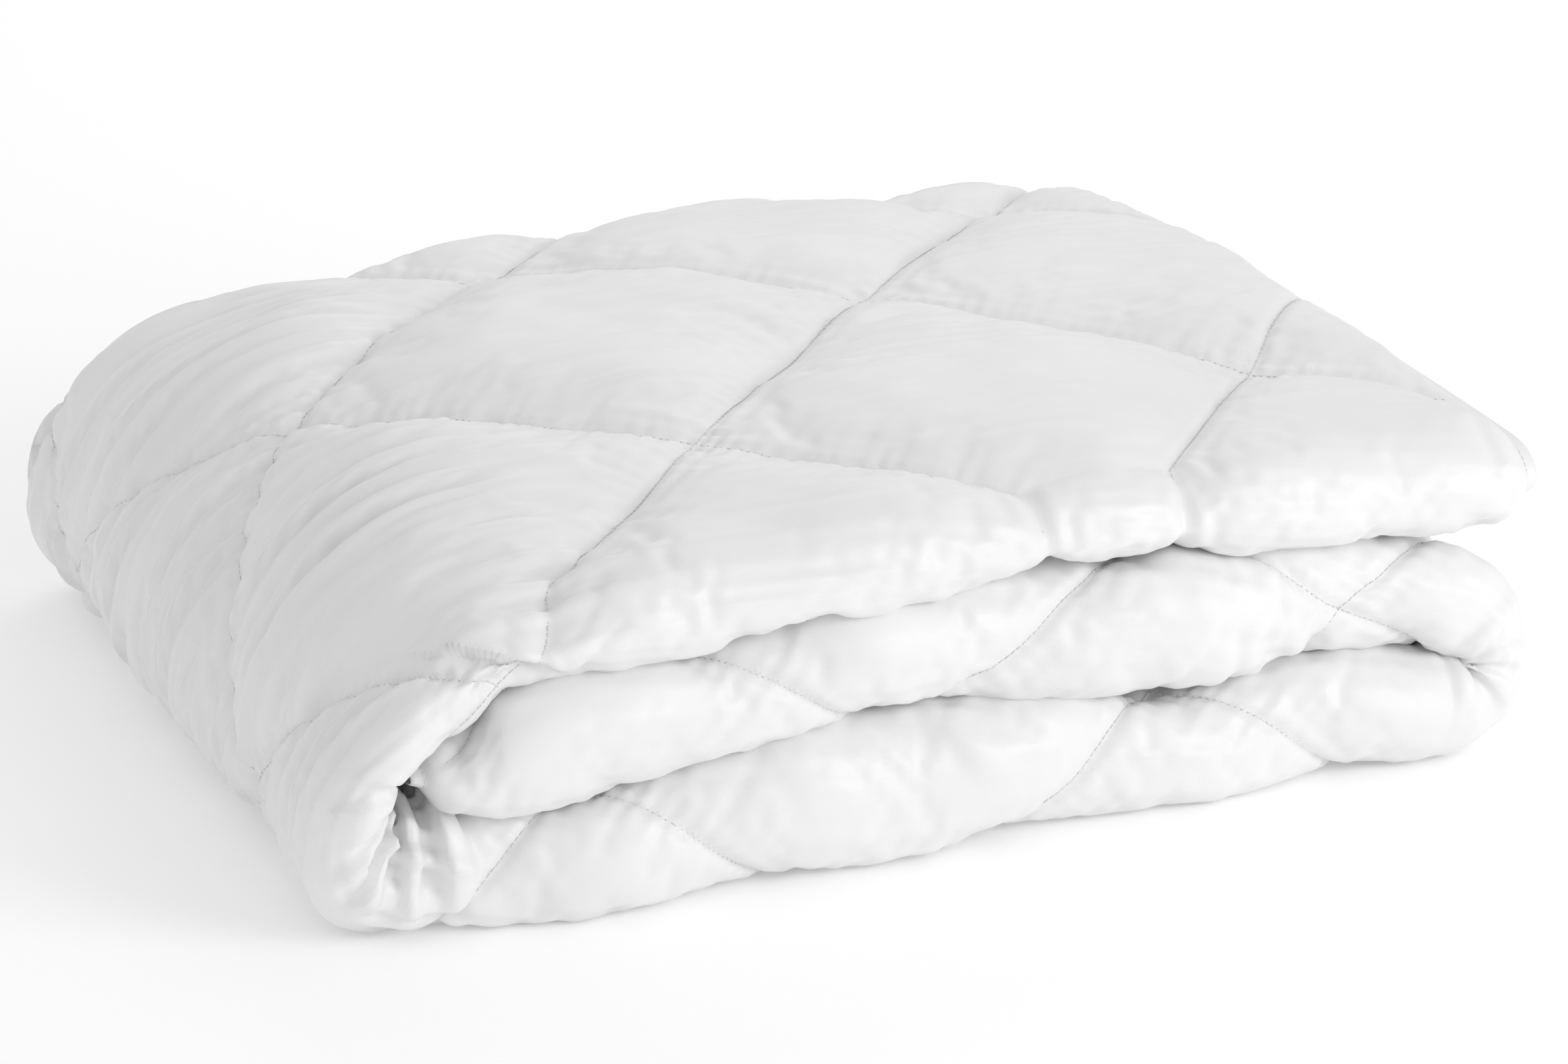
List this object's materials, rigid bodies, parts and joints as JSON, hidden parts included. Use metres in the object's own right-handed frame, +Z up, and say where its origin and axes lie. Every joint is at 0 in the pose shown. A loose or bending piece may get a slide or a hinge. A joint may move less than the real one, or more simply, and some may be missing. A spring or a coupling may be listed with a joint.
{
  "type": "folded quilted duvet",
  "caption": "Diamond-quilted duvet folded in thirds both ways, whose top third and left bend unroll over the left end.",
  "frame": {"origin": "centre of the overall box, on the surface that the duvet lies on", "axes": "+X along the folded pack, from the big bend to the free end of the top layer; +Y from the front fold to the back; +Z up"},
  "size_m": [0.6806, 0.5506, 0.1935],
  "materials": {
    "face_cloth": "soft sheen",
    "under_cloth": "soft sheen",
    "wadding": "matte",
    "hem_cloth": "soft sheen",
    "thread": "satin"
  },
  "bodies": {
    "base": {"base_face_cover": "face_cloth", "base_wadding": "wadding", "base_lining": "under_cloth", "base_back_hem": "hem_cloth", "base_inner_hem": "hem_cloth", "base_end_hem": "hem_cloth", "base_quilting": "thread", "base_hem_stitch": "thread"},
    "left_bend": {"bend_face_cover": "face_cloth", "bend_wadding": "wadding", "bend_lining": "under_cloth", "bend_back_hem": "hem_cloth", "bend_inner_hem": "hem_cloth", "bend_quilting": "thread", "bend_hem_stitch": "thread"},
    "top_flap": {"flap_face_cover": "face_cloth", "flap_wadding": "wadding", "flap_lining": "under_cloth", "flap_back_hem": "hem_cloth", "flap_inner_hem": "hem_cloth", "flap_end_hem": "hem_cloth", "flap_quilting": "thread", "flap_hem_stitch": "thread"}
  },
  "joints": [
    {"name": "bend_unroll", "type": "hinge", "parent": "base", "child": "left_bend", "pos_m": [-0.30805, 0, 0.03195], "axis": [0, -1, 0], "range_deg": [0, 90]},
    {"name": "flap_unroll", "type": "hinge", "parent": "left_bend", "child": "top_flap", "pos_m": [-0.30805, 0, 0.16095], "axis": [0, -1, 0], "range_deg": [0, 90]}
  ],
  "couplings": [
    {"joint": "flap_unroll", "follows": "bend_unroll", "ratio": 1}
  ]
}
